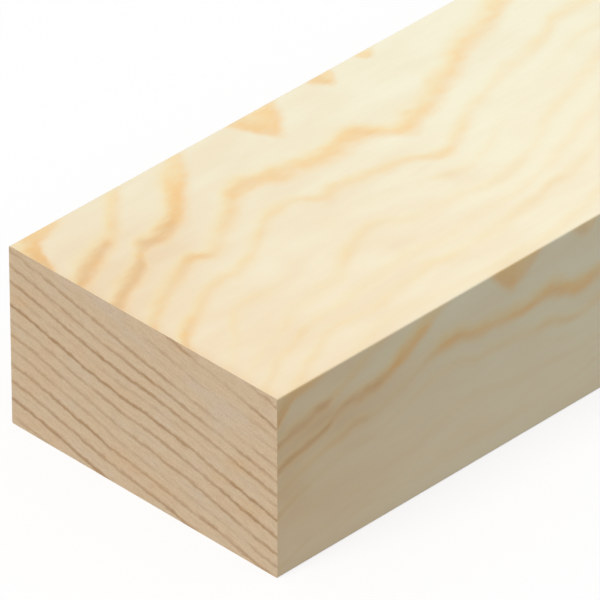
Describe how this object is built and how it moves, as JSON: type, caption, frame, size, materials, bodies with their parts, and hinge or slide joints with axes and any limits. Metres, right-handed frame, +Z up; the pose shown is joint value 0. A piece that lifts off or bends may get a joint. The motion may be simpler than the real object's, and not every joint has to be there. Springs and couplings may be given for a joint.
{
  "type": "timber plank",
  "caption": "Planed square-edged softwood plank with eased arrises and cross-cut ends, for framing, battens and general joinery.",
  "frame": {"origin": "middle of the underside, on the surface that the plank lies on", "axes": "+X along the length (the grain), +Y across the width, +Z up through the thickness"},
  "size_m": [1.8, 0.07, 0.04],
  "materials": {
    "pine": "matte"
  },
  "bodies": {
    "root": {"plank": "pine"}
  },
  "joints": []
}
